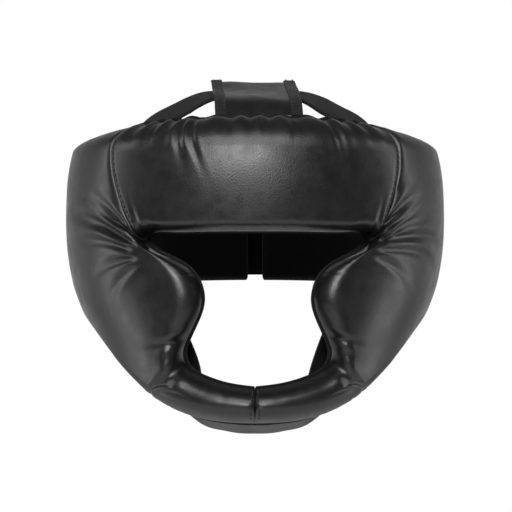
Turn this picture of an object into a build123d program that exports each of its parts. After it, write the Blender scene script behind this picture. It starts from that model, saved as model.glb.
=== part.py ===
from build123d import *
import os
from math import cos, radians, sin, sqrt

# Full-face boxing headgear: five padded panels (forehead, two sides that run down into the
# cheek guards and the chin bar, two rear wings), an open crown crossed by a webbing strap and a
# leather flap, a rear closure strap and a chin strap. Millimetres. +Z up, the face looks to -Y,
# X is the wearer's left. The origin is the centre of the head cavity, level with the eyes.

# ---- Head form: outer face of the padding, as half ellipses stacked up the Z axis ----
half_width = 120.0       # widest, at the temples
front_reach = 120.0      # furthest forward, at the chin bar
back_reach = 132.0       # furthest back, at the rear wings
# height, then how far the outer face is tucked in there at the sides, front and back
form_levels = [
    (-118.0, 38.0, 4.0, 34.0),
    (-85.0, 25.0, 0.0, 26.0),
    (-55.0, 17.5, 1.0, 18.0),
    (-25.0, 6.5, 3.0, 8.0),
    (21.0, 0.0, 3.0, 0.0),
    (60.0, 2.5, 4.5, 3.0),
    (98.0, 13.0, 13.0, 15.0),
]

# ---- Padding ----
side_pad = 38.0          # whole thickness at the sides, cover and lining included
front_pad = 33.0         # at the forehead and the chin bar
back_pad = 22.0          # at the rear wings
cover_wall = 1.4         # coated leather cover
lining_wall = 3.0        # lining cloth on its thin backing foam
foam_gap = 0.3           # half the gap where two foam blocks meet

# ---- Rims, as heights of the padding's edge along Y ----
top_rim = [(-150.0, 87.0), (-112.0, 82.5), (0.0, 74.0), (150.0, 78.0)]
bottom_rim = [
    (-150.0, -102.5),
    (-119.0, -101.0),
    (-100.0, -96.5),
    (-70.0, -79.5),
    (-37.0, -56.5),
    (20.0, -29.0),
    (80.0, -18.5),
    (155.0, -15.0),
]

# ---- Face opening, left half of its outline seen from the front: X, Z and corner radius ----
opening_half = [
    (0.0, 14.5, 0.0),     # brow
    (71.0, 14.5, 5.0),    # eye corner
    (69.5, 4.5, 5.0),
    (39.0, -8.8, 12.0),   # cheek
    (31.8, -24.0, 14.0),
    (46.5, -56.0, 10.0),  # mouth corner
    (46.0, -66.0, 10.0),
    (34.0, -76.5, 10.0),
    (18.0, -80.0, 20.0),  # top of the chin bar
    (0.0, -80.0, 0.0),
]

# ---- Panel seams ----
seam_low = (68.3, 6.0)   # forehead seam line at Y = seam_y: half width, height
seam_high = (109.0, 110.0)
seam_y = -94.0
seam_splay = 0.36        # how fast the seam closes in towards the back, per millimetre
rear_seam = 62.0         # Y where the rear wings are sewn on
rear_seam_gap = 0.8
rear_gap = 14.0          # opening between the two rear wings
crease_front = (-88.0, 6.0)   # fold between temple and cheek foam, (Y, Z)
crease_back = (62.0, 30.0)
chin_fold_in = (44.0, -66.0)  # fold between cheek and chin foam, (X, Z)
chin_fold_out = (80.0, -80.0)

# ---- Ear openings ----
ear_at = (20.0, 3.0)     # Y, Z of the centre
ear_size = (22.0, 34.0)
ear_wall = 1.6

# ---- Crown: webbing from side to side, a leather flap from the forehead over it ----
binding_rise = 4.0       # how far the crown binding stands above the rim
binding_wall = 4.0
webbing_width = 25.0
webbing_wall = 2.0
webbing_middle = (-12.0, 102.5)   # Y, Z
webbing_lean = 14.0      # degrees, the back edge is higher
webbing_flat = 27.0      # half length that lies level under the flap
webbing_sewn = 20.0      # length sewn inside the rim
webbing_bow = 1.5        # the flat webbing's clearance inside the curved wall
flap_width = 55.0
flap_wall = 2.2
flap_rise = 42.0         # degrees, slope where the flap leaves the rim
flap_overhang = 9.0      # past the webbing's back edge
flap_hem_width = 7.0
flap_hem_wall = 0.8
patch_wall = 1.2
sewn_gap = 0.1           # between layers sewn to each other
patch_gap = 0.3          # between a hook patch and its loop patch
crown_patch_half = 22.0

# ---- Rear closure ----
strap_low, strap_high = -13.0, 41.0
strap_wall = 3.0
strap_root = 70.0        # X where the strap leaves its anchor
strap_tip = -74.0
anchor_length = 16.0
anchor_wall = 3.6
anchor_gap = 0.8
loop_span = (-82.0, -18.0)
hook_span = (-70.0, -24.0)
tip_hem_length = 8.0
tip_hem_wall = 0.8
strap_margin = 2.0       # the hook patch stops this far inside the strap's edges
anchor_margin = 1.0      # the anchor stands this far past them

# ---- Chin strap ----
chin_width = 24.0
chin_wall = 2.4
chin_anchor_wall = 2.0
chin_anchor_top = (-57.0, -50.0)   # Y, Z of the top of each anchor, on the lining
chin_anchor_low = (-59.0, -72.0)   # where it leaves the lining
chin_anchor_bow = 3.2    # a flat strap's clearance inside the curved jaw
# half of the strap's route, from the middle out: X, Y, Z, turn of its width, roll
chin_half = [
    (0.0, -70.0, -108.4, 0.0, 0.0),
    (16.0, -69.5, -107.2, 3.0, 10.0),
    (29.0, -67.5, -103.0, 12.0, 27.0),
    (36.0, -64.0, -97.0, 20.0, 44.0),
    (40.5, -60.5, -89.5, 28.0, 62.0),
]
chin_pad_wall = 7.0
root_gap = 0.6           # between the strap and the anchor that it is sewn to

reach = 200.0            # longer than the whole object, for cutting tools
os.makedirs("parts", exist_ok=True)


def write(piece, label):
    piece.label = label
    export_step(piece, f"parts/{label}.step")
    print(label, round(piece.volume), "mm3")


def form(side, front, back):
    """The head form as one solid, taken in by these insets (negative grows it)."""
    with BuildPart() as body:
        for height, side_tuck, front_tuck, back_tuck in form_levels:
            half = half_width - side_tuck - side
            ahead = front_reach - front_tuck - front
            behind = back_reach - back_tuck - back
            with BuildSketch(Plane.XY.offset(height)):
                with BuildLine():
                    EllipticalCenterArc((0, 0), half, ahead, 180, arc_size=180)
                    EllipticalCenterArc((0, 0), half, behind, 0, arc_size=180)
                make_face()
        loft()
    return body.part


def even_form(inset):
    return form(inset, inset, inset)


def side_profile(inset):
    """The padded band seen from the side, between its two rims, run right across X."""
    with BuildPart() as band:
        with BuildSketch(Plane.YZ):
            with BuildLine():
                top = Spline(*[(y, z - inset) for y, z in top_rim])
                bottom = Spline(*[(y, z + inset) for y, z in bottom_rim])
                Line(top @ 0, bottom @ 0)
                Line(top @ 1, bottom @ 1)
            make_face()
        extrude(amount=reach, both=True)
    return band.part


def face_opening(inset):
    """The hole for the eyes, nose and mouth, run forward from the origin."""
    with BuildPart() as hole:
        with BuildSketch(Plane.XZ):
            with BuildLine():
                outline = FilletPolyline(
                    *[(x, z) for x, z, _ in opening_half],
                    radius=[radius for _, _, radius in opening_half[1:-1]],
                )
                Line(outline @ 1, outline @ 0)
            make_face()
            mirror(about=Plane.YZ)
            if inset:
                offset(amount=inset)
        extrude(amount=reach)
    return hole.part


def ear_plug(inset):
    """Oval rod through both sides of the headgear."""
    with BuildPart() as rod:
        with BuildSketch(Plane.YZ):
            with Locations(ear_at):
                Ellipse(ear_size[0] / 2 + inset, ear_size[1] / 2 + inset)
        extrude(amount=reach, both=True)
    return rod.part


def padded_zone(outer, inner, inset):
    """Everything between two forms that lies inside the rims and outside the openings."""
    with BuildPart() as zone:
        add(outer)
        add(inner, mode=Mode.SUBTRACT)
        add(side_profile(inset), mode=Mode.INTERSECT)
        add(face_opening(inset), mode=Mode.SUBTRACT)
        add(ear_plug(inset + ear_wall), mode=Mode.SUBTRACT)
    return zone.part


def forehead_key(gap=0.0):
    """Wedge that holds the forehead panel: its two sides are the forehead seams."""
    with BuildPart() as wedge:
        for y in (-reach, -10.0):
            shift = (seam_y - y) * seam_splay - gap
            low, high = seam_low[0] + shift, seam_high[0] + shift
            with BuildSketch(Plane.XZ.offset(-y)):
                with BuildLine():
                    Polyline(
                        (-low, seam_low[1]),
                        (low, seam_low[1]),
                        (high, seam_high[1]),
                        (-high, seam_high[1]),
                        close=True,
                    )
                make_face()
        loft(ruled=True)
    return wedge.part


def box_between(low, high):
    size = [b - a for a, b in zip(low, high)]
    middle = [(a + b) / 2 for a, b in zip(low, high)]
    with BuildPart() as block:
        with Locations(tuple(middle)):
            Box(*size)
    return block.part


def overlap_of(*shapes):
    """What is inside all of these shapes."""
    with BuildPart() as both:
        add(shapes[0])
        for shape in shapes[1:]:
            add(shape, mode=Mode.INTERSECT)
    return both.part


def less(shape, *tools):
    with BuildPart() as rest:
        add(shape)
        for tool in tools:
            add(tool, mode=Mode.SUBTRACT)
    return rest.part


def cut_by(shape, plane, keep):
    with BuildPart() as piece:
        add(shape)
        split(bisect_by=plane, keep=keep)
    return piece.part


def mirrored(piece):
    with BuildPart() as other:
        mirror(piece, about=Plane.YZ)
    return other.part


def write_pair(right_piece, name):
    """The right-hand piece and its mirror image."""
    write(right_piece, f"right_{name}")
    write(mirrored(right_piece), f"left_{name}")


def form_at(height):
    """Half width, front reach and back reach of the form at this height."""
    for low, high in zip(form_levels, form_levels[1:]):
        if height <= high[0]:
            break
    share = (height - low[0]) / (high[0] - low[0])
    tucks = [a + (b - a) * share for a, b in zip(low[1:], high[1:])]
    return half_width - tucks[0], front_reach - tucks[1], back_reach - tucks[2]


def reach_at(height, inset):
    return form_at(height)[1] - inset


def rim_at(y):
    """Height of the crown rim at this Y."""
    for low, high in zip(top_rim, top_rim[1:]):
        if y <= high[0]:
            break
    return low[1] + (high[1] - low[1]) * (y - low[0]) / (high[0] - low[0])


def wall_x(y, z):
    """X of the left inner face at this Y and Z."""
    half, ahead, behind = form_at(z)
    along = ahead - front_pad if y < 0 else behind - back_pad
    return (half - side_pad) * sqrt(1 - (y / along) ** 2)


# A strap's station is its place, the way its width runs and its outward face.
def on_wall(y, z, clear):
    """Station this far inside the left inner face, with the strap running up the wall."""
    slope_y = wall_x(y + 0.5, z) - wall_x(y - 0.5, z)
    slope_z = wall_x(y, z + 0.5) - wall_x(y, z - 0.5)
    outward = Vector(1, -slope_y, -slope_z).normalized()
    return Vector(wall_x(y, z), y, z) - outward * clear, Vector(slope_y, 1, 0), outward


def leaned(x, y, z, lean, roll):
    """Station on the crown: the back edge is tipped up by lean, roll turns it to the side."""
    tip, turn = radians(lean), radians(roll)
    outward = Vector(sin(turn), -sin(tip) * cos(turn), cos(tip) * cos(turn))
    return Vector(x, y, z), Vector(0, cos(tip), sin(tip)), outward


def slung(x, y, z, turn, roll):
    """Station under the chin: turn swings its width round Z, roll lifts its outward face."""
    swing, lift = radians(turn), radians(roll)
    outward = Vector(sin(lift) * cos(swing), -sin(lift) * sin(swing), -cos(lift))
    return Vector(x, y, z), Vector(sin(swing), cos(swing), 0), outward


def flipped(station):
    """The same station on the other side of the head."""
    spot, way, out = station
    return Vector(-spot.X, spot.Y, spot.Z), Vector(-way.X, way.Y, way.Z), Vector(-out.X, out.Y, out.Z)


def both_ways(half):
    """A route from end to end, given from its middle to one end."""
    return [flipped(station) for station in reversed(half[1:])] + half


def lifted(station, amount):
    spot, way, outward = station
    return spot + outward * amount, way, outward


def band(stations, width, wall, lift=0.0):
    """Flat strap through these stations, moved along its outward face by lift."""
    with BuildPart() as strap:
        for station in stations:
            spot, way, outward = lifted(station, lift)
            with BuildSketch(Plane(origin=spot, x_dir=way, z_dir=way.cross(outward))):
                Rectangle(width, wall)
        loft(ruled=True)
    return strap.part


# ---- The padded band: covers, foam and lining ----
outer_face = even_form(0)
under_cover = even_form(cover_wall)
lining_back = form(side_pad - lining_wall, front_pad - lining_wall, back_pad - lining_wall)
inner_face = form(side_pad, front_pad, back_pad)

rear_slit = box_between(
    (-reach, rear_seam - cover_wall, -reach),
    (reach, rear_seam + rear_seam_gap + cover_wall, reach),
)
back_slit = box_between(
    (-rear_gap / 2 - cover_wall, 0, -reach), (rear_gap / 2 + cover_wall, reach, reach)
)
foam_zone = less(padded_zone(under_cover, lining_back, cover_wall), rear_slit, back_slit)
cover_zone = less(padded_zone(outer_face, lining_back, 0), foam_zone)
lining_zone = padded_zone(lining_back, inner_face, 0)

forehead = forehead_key()
right_front = box_between((-reach, -reach, -reach), (0, rear_seam, reach))
right_back = box_between(
    (-reach, rear_seam + rear_seam_gap, -reach), (-rear_gap / 2, reach, reach)
)

for zone, kind in ((cover_zone, "cover"), (lining_zone, "lining")):
    write(overlap_of(zone, forehead), f"forehead_{kind}")
    write_pair(less(overlap_of(zone, right_front), forehead), f"side_{kind}")
    write_pair(overlap_of(zone, right_back), f"rear_{kind}")

# ---- Foam blocks ----
write(overlap_of(foam_zone, forehead_key(foam_gap)), "forehead_foam")
side_foam = less(
    overlap_of(foam_zone, right_front),
    forehead_key(-foam_gap),
    box_between((-foam_gap, -reach, -reach), (reach, reach, reach)),
)
crease_run = Vector(0, crease_back[0] - crease_front[0], crease_back[1] - crease_front[1])
crease = Plane(
    origin=(0, *crease_front), x_dir=(1, 0, 0), z_dir=Vector(1, 0, 0).cross(crease_run)
)
fold_run = Vector(chin_fold_in[0] - chin_fold_out[0], 0, chin_fold_out[1] - chin_fold_in[1])
chin_fold = Plane(
    origin=(-chin_fold_in[0], 0, chin_fold_in[1]),
    x_dir=(0, 1, 0),
    z_dir=fold_run.cross(Vector(0, 1, 0)),
)
jaw_foam = cut_by(side_foam, crease.offset(-foam_gap), Keep.BOTTOM)
write_pair(cut_by(side_foam, crease.offset(foam_gap), Keep.TOP), "temple_foam")
write_pair(cut_by(jaw_foam, chin_fold.offset(-foam_gap), Keep.BOTTOM), "cheek_foam")
write_pair(cut_by(jaw_foam, chin_fold.offset(foam_gap), Keep.TOP), "chin_foam")
write_pair(overlap_of(foam_zone, right_back), "rear_foam")

# ---- Ear sleeves: oval tubes that line the ear openings ----
ear_tube = less(overlap_of(less(outer_face, inner_face), ear_plug(ear_wall)), ear_plug(0))
write_pair(overlap_of(ear_tube, right_front), "ear_sleeve")

# ---- Crown binding: tape that stands up along the inner edge of the crown rim ----
with BuildPart() as rim_strip:
    with BuildSketch(Plane.YZ):
        with BuildLine():
            low = Spline(*top_rim)
            high = Spline(*[(y, z + binding_rise) for y, z in top_rim])
            Line(low @ 0, high @ 0)
            Line(low @ 1, high @ 1)
        make_face()
    extrude(amount=reach, both=True)
binding_back = form(
    side_pad - binding_wall, front_pad - binding_wall, back_pad - binding_wall
)
binding_ring = overlap_of(less(binding_back, inner_face), rim_strip.part)
front_part = box_between((-reach, -reach, 0), (reach, rear_seam, reach))
write(overlap_of(binding_ring, front_part), "crown_binding")
write_pair(overlap_of(binding_ring, right_back), "rear_binding")

# ---- Crown webbing, sewn inside the rim at both sides, and its loop patch ----
webbing_clear = webbing_wall / 2 + webbing_bow
sewn_top = on_wall(0.0, top_rim[2][1] + 2, webbing_clear)
sewn_end = on_wall(0.0, top_rim[2][1] + 2 - webbing_sewn, webbing_clear)
over_rim = sewn_top[0] + Vector(-3.0, -2.0, 6.0)
crown_half = [
    leaned(0, *webbing_middle, webbing_lean, 0),
    leaned(webbing_flat, *webbing_middle, webbing_lean, 10),
    leaned(over_rim.X, over_rim.Y, over_rim.Z, 4, 45),
    sewn_top,
    sewn_end,
]
write(band(both_ways(crown_half), webbing_width, webbing_wall), "crown_webbing")
flat_run = [
    leaned(side * crown_patch_half, *webbing_middle, webbing_lean, 0) for side in (-1, 1)
]
loop_lift = webbing_wall / 2 + sewn_gap + patch_wall / 2
hook_lift = loop_lift + patch_wall + patch_gap
write(band(flat_run, webbing_width, patch_wall, loop_lift), "crown_loop_patch")
write(band(flat_run, webbing_width, patch_wall, hook_lift), "crown_hook_patch")

# ---- Crown flap: leather tongue from the forehead rim over the webbing ----
flap_lift = hook_lift + patch_wall / 2 + sewn_gap
lean, rise = radians(webbing_lean), radians(flap_rise)
flat_way, flat_up = Vector(cos(lean), sin(lean)), Vector(-sin(lean), cos(lean))
rise_way, rise_up = Vector(cos(rise), sin(rise)), Vector(-sin(rise), cos(rise))
flap_middle = Vector(*webbing_middle) + flat_up * flap_lift
flap_front = flap_middle - flat_way * (webbing_width / 2 + 1)
flap_back = flap_middle + flat_way * webbing_width / 2
flap_end = flap_back + Vector(flap_overhang, 0.5)
rim_height = rim_at(-78.0) + binding_rise
flap_root = Vector(-reach_at(rim_height, front_pad - binding_wall / 2), rim_height + 0.4)


def flap_layer(low, high, span):
    """A layer of the flap between two lifts off its inner face, run across this X span."""
    with BuildPart() as layer:
        with BuildSketch(Plane.YZ.offset(span[0])):
            with BuildLine():
                ends = []
                for lift in (low, high):
                    root = flap_root + rise_up * lift
                    front, back = flap_front + flat_up * lift, flap_back + flat_up * lift
                    end = flap_end + Vector(0, lift)
                    Spline(root, front, tangents=[rise_way, flat_way])
                    Line(front, back)
                    Spline(back, end, tangents=[flat_way, (1, 0)])
                    ends.append((root, end))
                Line(ends[0][0], ends[1][0])
                Line(ends[0][1], ends[1][1])
            make_face()
        extrude(amount=span[1] - span[0])
    return layer.part


flap_half = flap_width / 2
write(flap_layer(0, flap_wall, (-flap_half, flap_half)), "crown_flap")
hem_low = flap_wall + sewn_gap
write_pair(
    flap_layer(hem_low, hem_low + flap_hem_wall, (-flap_half, -flap_half + flap_hem_width)),
    "flap_hem",
)

# ---- Rear closure, layer on layer over the wings ----
panel_lift = sewn_gap
hook_low = panel_lift + patch_wall + patch_gap
strap_base = hook_low + patch_wall + sewn_gap
strap_top = strap_base + strap_wall


def rear_layer(low, high, left, right, margin=0.0):
    """Curved sheet over the rear wings, between two lifts off the padding."""
    window = box_between(
        (left, rear_seam, strap_low + margin), (right, reach, strap_high - margin)
    )
    return overlap_of(less(even_form(-high), even_form(-low)), window)


write(rear_layer(strap_base, strap_top, strap_tip, strap_root), "rear_strap")
write(
    rear_layer(hook_low, hook_low + patch_wall, *hook_span, strap_margin), "rear_strap_hook"
)
write(
    rear_layer(panel_lift, panel_lift + patch_wall, *loop_span, -strap_margin),
    "rear_loop_panel",
)
write(
    rear_layer(
        strap_top + sewn_gap,
        strap_top + sewn_gap + tip_hem_wall,
        strap_tip,
        strap_tip + tip_hem_length,
    ),
    "rear_strap_hem",
)
anchor_start = strap_root + anchor_gap
write(
    rear_layer(
        panel_lift,
        strap_base + anchor_wall,
        anchor_start,
        anchor_start + anchor_length,
        -anchor_margin,
    ),
    "rear_strap_anchor",
)

# ---- Chin strap, sewn to the right anchor and closed on the left one ----
left_run = [slung(*station) for station in chin_half]
chin_run = [flipped(station) for station in reversed(left_run[1:])] + left_run
write(band(chin_run, chin_width, chin_wall), "chin_strap")

wall_clear = chin_anchor_wall / 2 + chin_anchor_bow
left_top = on_wall(*chin_anchor_top, wall_clear)
left_low = on_wall(*chin_anchor_low, wall_clear)
root_spot, root_way, root_out = flipped(left_run[-1])
strap_way = root_way.cross(root_out)
if strap_way.Z < 0:
    strap_way = -strap_way
right_end = (root_spot + strap_way * root_gap, root_way, root_out)
write(
    band([flipped(left_top), flipped(left_low), right_end], chin_width, chin_anchor_wall),
    "chin_anchor_right",
)
hook_drop = -(chin_wall / 2 + sewn_gap + patch_wall / 2)
loop_drop = hook_drop - patch_wall - patch_gap
anchor_drop = loop_drop - patch_wall / 2 - sewn_gap - chin_anchor_wall / 2
closed_run = [lifted(station, anchor_drop) for station in reversed(left_run[3:])]
write(
    band([left_top, left_low] + closed_run, chin_width, chin_anchor_wall),
    "chin_anchor_left",
)
write(band(left_run[3:], chin_width, patch_wall, hook_drop), "chin_hook_patch")
write(band(left_run[3:], chin_width, patch_wall, loop_drop), "chin_loop_patch")
pad_run = [flipped(left_run[1]), left_run[0], left_run[1]]
pad_drop = -(chin_wall / 2 + sewn_gap + chin_pad_wall / 2)
write(band(pad_run, chin_width, chin_pad_wall, pad_drop), "chin_pad")
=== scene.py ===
import bmesh
import bpy
import numpy as np
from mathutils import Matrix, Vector


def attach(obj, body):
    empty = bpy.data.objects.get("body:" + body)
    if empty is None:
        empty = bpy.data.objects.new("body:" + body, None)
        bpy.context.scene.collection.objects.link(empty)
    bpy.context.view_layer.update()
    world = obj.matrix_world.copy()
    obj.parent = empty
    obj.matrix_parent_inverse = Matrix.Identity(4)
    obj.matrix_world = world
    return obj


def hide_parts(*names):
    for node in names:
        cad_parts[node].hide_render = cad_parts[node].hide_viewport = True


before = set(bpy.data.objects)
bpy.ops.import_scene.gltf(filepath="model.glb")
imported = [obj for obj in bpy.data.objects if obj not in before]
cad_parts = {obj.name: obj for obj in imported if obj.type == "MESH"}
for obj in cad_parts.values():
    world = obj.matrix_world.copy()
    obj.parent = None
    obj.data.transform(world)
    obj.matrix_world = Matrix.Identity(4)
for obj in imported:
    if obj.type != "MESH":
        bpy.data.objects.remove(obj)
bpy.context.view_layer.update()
print("frame loaded")

mm = 0.001

# head form: half ellipses stacked up the Z axis, the same values as the CAD model, in mm
form = {
    "heights": [-118, -85, -55, -25, 21, 60, 98],
    "half": [82, 95, 102.5, 113.5, 120, 117.5, 107],
    "front": [116, 120, 119, 117, 117, 115.5, 107],
    "back": [98, 106, 114, 124, 132, 129, 117],
    "sidePad": 38, "frontPad": 33, "backPad": 22, "foldRadius": 118,
}
rims = {
    "topY": [-150, -112, 0, 150], "topZ": [87, 82.5, 74, 78],
    "bottomY": [-150, -119, -100, -70, -37, 20, 80, 155],
    "bottomZ": [-102.5, -101, -96.5, -79.5, -56.5, -29, -18.5, -15],
    "rearSeam": 62, "rearSeamGap": 0.8, "rearGap": 14, "seamTop": 87.6, "jawY": -70,
    "seamZ": 77.7, "browZ": 82.4, "chinZ": -100.9, "wingZ": 29,
}
capSqueeze = (0, 0.6, 0.9)  # how far a band's closing rings have opened
# left half of the face opening from brow to chin bar; stops tie it to the outer rim
opening = {
    "outline": [
        (0, 14.6), (30, 14.5), (55, 14.4), (65, 13.5), (70.3, 9.4), (66.5, 4.2), (54, -1.8),
        (41.5, -8.2), (35, -17), (33.2, -27), (37.2, -39.5), (43, -51), (45.4, -59.5),
        (41.5, -68.2), (33, -72.8), (17.5, -77.2), (0, -79.4),
    ],
    "stops": [0, 4, 6, 8, 12, 16],
    "eyeLean": 0.6, "jawLean": 0.72, "browRise": 2.6, "seamBow": 0.045,
    "scallop": 0.9, "leftWider": 0.036,
}


def splineThrough(knots, values, where):
    # natural cubic spline: the second derivatives solve a tridiagonal system
    knots, values = np.asarray(knots, float), np.asarray(values, float)
    flat = values.ndim == 1
    values = values[:, None] if flat else values
    step, count = np.diff(knots), len(knots)
    system, right = np.eye(count), np.zeros_like(values)
    for i in range(1, count - 1):
        system[i, i - 1:i + 2] = step[i - 1], 2 * (step[i - 1] + step[i]), step[i]
        slopes = np.diff(values[i - 1:i + 2], axis=0) / step[i - 1:i + 1, None]
        right[i] = 6 * (slopes[1] - slopes[0])
    bend = np.linalg.solve(system, right)
    where = np.clip(np.asarray(where, float), knots[0], knots[-1])
    i = np.clip(np.searchsorted(knots, where) - 1, 0, count - 2)
    a = ((knots[i + 1] - where) / step[i])[..., None]
    b = 1 - a
    h = step[i][..., None]
    out = a * values[i] + b * values[i + 1]
    out = out + ((a ** 3 - a) * bend[i] + (b ** 3 - b) * bend[i + 1]) * h ** 2 / 6
    return out[..., 0] if flat else out


def runLength(points):
    # length along a run of points, from its start
    steps = np.linalg.norm(np.diff(points, axis=0), axis=1)
    return np.concatenate([[0], np.cumsum(steps)])


def curveThrough(points, count):
    # smooth curve through points, spaced evenly along its length
    points = np.asarray(points, float)
    knots = runLength(points)
    dense = splineThrough(knots, points, np.linspace(0, knots[-1], 900))
    length = runLength(dense)
    even = np.linspace(0, length[-1], count)
    return np.stack([np.interp(even, length, dense[:, k]) for k in range(points.shape[1])], 1)


def formAt(z):
    # half width, front reach and back reach of the head form at height z
    return [splineThrough(form["heights"], form[key], z) for key in ("half", "front", "back")]


def padAt(theta):
    # padding thickness round the head: side pad at 90 degrees, front or back pad at 0 or 180
    ends = np.where(np.cos(theta) > 0, form["frontPad"], form["backPad"])
    return form["sidePad"] * np.sin(theta) ** 2 + ends * np.cos(theta) ** 2


def headPoint(theta, z, t, lean=0.0):
    # point on the head form: theta from the front centre round to the left, height z,
    # t from the inner face (0) to the outer face (1); lean keeps X the same through the pad
    half, front, back = formAt(z)
    halfIn = half - form["sidePad"] * (1 - t)
    straight = np.arcsin(np.clip(half * np.sin(theta) / halfIn, -0.97, 0.97))
    turned = theta + (straight - theta) * lean
    ahead = front - form["frontPad"] * (1 - t)
    behind = back - form["backPad"] * (1 - t)
    along = np.where(np.cos(turned) > 0, ahead, behind)
    return np.stack([halfIn * np.sin(turned), -along * np.cos(turned), z + 0 * turned], -1)


def rimZ(y, which):
    # height of the top or bottom rim at Y
    return splineThrough(rims[which + "Y"], rims[which + "Z"], y)


def rimPoints(y, which):
    # (theta, z) of the outer edge of the padding at these Y
    z = rimZ(y, which)
    _, front, back = formAt(z)
    return np.stack([np.arccos(np.clip(-y / np.where(y < 0, front, back), -1, 1)), z], 1)


def frontReach(z):
    # Y of the form's frontmost point at height z
    return -float(formAt(np.array([z]))[1][0])


def ringTable():
    # matching points on the face opening and on the outer rim, for u from 0 (brow) to 5 (chin)
    outline = np.array(opening["outline"], float)
    knots = runLength(outline)
    where = np.linspace(0, knots[-1], 1200)
    dense = splineThrough(knots, outline, where)
    length = runLength(dense)
    stops = np.interp(knots[opening["stops"]], where, length)
    half = formAt(dense[:, 1])[0]
    inner = np.stack([np.arcsin(np.clip(dense[:, 0] / half, -1, 1)), dense[:, 1]], 1)
    seamHalf, seamFront, _ = formAt(np.array([rims["seamZ"]]))
    seamY = -float(seamFront[0] * np.sqrt(1 - (rims["seamTop"] / seamHalf[0]) ** 2))
    rear = rims["rearSeam"]
    zRear = np.linspace(float(rimZ(rear, "top")), float(rimZ(rear, "bottom")), 80)
    rearTheta = np.arccos(-rear / formAt(zRear)[2])
    runs = [
        rimPoints(np.linspace(frontReach(rims["browZ"]), seamY, 80), "top"),
        rimPoints(np.linspace(seamY, rear, 80), "top"),
        np.stack([rearTheta, zRear], 1),
        rimPoints(np.linspace(rear, rims["jawY"], 80), "bottom"),
        rimPoints(np.linspace(rims["jawY"], frontReach(rims["chinZ"]), 80), "bottom"),
    ]
    return inner, length, stops, runs


innerRun, innerLength, innerStops, outerRuns = ringTable()


def ringEdges(u):
    # opening edge and outer edge at u, both as (theta, z)
    u = np.abs(np.asarray(u, float))
    arc = np.interp(u, np.arange(len(innerStops)), innerStops)
    inner = np.stack([np.interp(arc, innerLength, innerRun[:, k]) for k in (0, 1)], -1)
    outer = np.zeros_like(inner)
    for i, run in enumerate(outerRuns):
        length = runLength(headPoint(run[:, 0], run[:, 1], 1.0))
        here = (u >= i) & (u <= i + 1)
        at = (u[here] - i) * length[-1]
        outer[here] = np.stack([np.interp(at, length, run[:, k]) for k in (0, 1)], -1)
    return inner, outer


def ringDomain(u, r):
    # straight line in (theta, z) from the opening edge (r = 0) to the outer edge (r = 1)
    # the forehead's top stands a little prouder and is scalloped, the opening is a little wider
    # on the left, and the forehead seam bows outward by seamBow * sin(pi r)^0.7 near u = 1
    inner, outer = ringEdges(u)
    outer[:, 1] += opening["browRise"] * np.clip(1.7 - np.abs(u), 0, 0.7) / 0.7
    spot = inner[None] * (1 - r[..., None]) + outer[None] * r[..., None]
    scallop = np.sin(u * 37 + 1.5 * np.sin(u * 9)) * np.clip(1.1 - np.abs(u), 0, 0.1) / 0.1
    spot[..., 1] += opening["scallop"] * scallop * np.clip(r, 0, 1) ** 8
    wide = np.clip(u / 0.8, 0, 1) * np.clip((5 - u) / 0.8, 0, 1)
    spot[..., 0] += opening["leftWider"] * wide * (1 - r)
    near = np.exp(-((np.abs(u) - 1) / 0.45) ** 2)
    bow = opening["seamBow"] * np.clip(np.sin(np.pi * np.clip(r, 0, 1)), 0, 1) ** 0.7 * near
    return (spot[..., 0] + bow) * np.sign(u + 1e-9), spot[..., 1]


def rightDomain(u, r):
    # the right side, drawn as if it were the left one and mirrored later
    theta, z = ringDomain(-u, r)
    return -theta, z


def wingDomain(u, r):
    # rear wing: u from the rear seam (0) to the gap at the back (1), r from bottom to top rim
    half, _, back = formAt(np.array([rims["wingZ"]]))
    start = np.arccos(-(rims["rearSeam"] + rims["rearSeamGap"]) / back[0])
    end = np.pi - np.arcsin(rims["rearGap"] / 2 / half[0])
    theta = start + (end - start) * u
    y = -back[0] * np.cos(theta)
    z = rimZ(y, "bottom") * (1 - r) + rimZ(y, "top") * r
    half, _, back = formAt(z)
    first = np.arccos(-(rims["rearSeam"] + rims["rearSeamGap"]) / back)
    last = np.pi - np.arcsin(rims["rearGap"] / 2 / half)
    return first + (last - first) * u, z


def sectionRows(panel):
    # one closed section through a pad: round the opening edge, over the outer face, round the
    # rim and back along the inner face. r = alpha + (open * f + rim) / reach, t is the depth
    turn = np.radians(np.linspace(-90, 90, panel["roundRows"]))
    low, high = panel["edgeIn"], 1 - panel["shrink"]
    start, end, back = panel["openingRound"], panel["rimRound"], panel["innerRound"]
    middle = panel["middle"]

    def corner(radius):
        d = np.where(turn < 0, back, radius) * (1 - np.cos(turn))
        d = d + panel["shrink"] * panel["shrinkReach"]
        t = np.where(turn < 0, middle + (middle - low) * np.sin(turn),
                     middle + (high - middle) * np.sin(turn))
        return d, t

    dOpen, tOpen = corner(start)
    dRim, tRim = corner(end)
    s = np.linspace(0, 1, panel["faceRows"] + 2)[1:-1]
    b = np.linspace(1, 0, panel["backRows"] + 2)[1:-1]
    alpha = np.concatenate([0 * dOpen, s, 0 * dRim + 1, b])
    atOpening = np.concatenate([dOpen, (1 - s) * dOpen[-1], 0 * dRim, (1 - b) * dOpen[0]])
    atRim = np.concatenate([0 * dOpen, -s * dRim[-1], -dRim[::-1], -b * dRim[0]])
    t = np.concatenate([tOpen, 0 * s + high, tRim[::-1], 0 * b + low])
    lean = np.concatenate([0 * dOpen + 1, np.clip(1 - 4 * s, 0, 1), 0 * dRim, (1 - b) ** 2])
    return alpha, atOpening, atRim, t, lean


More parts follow.
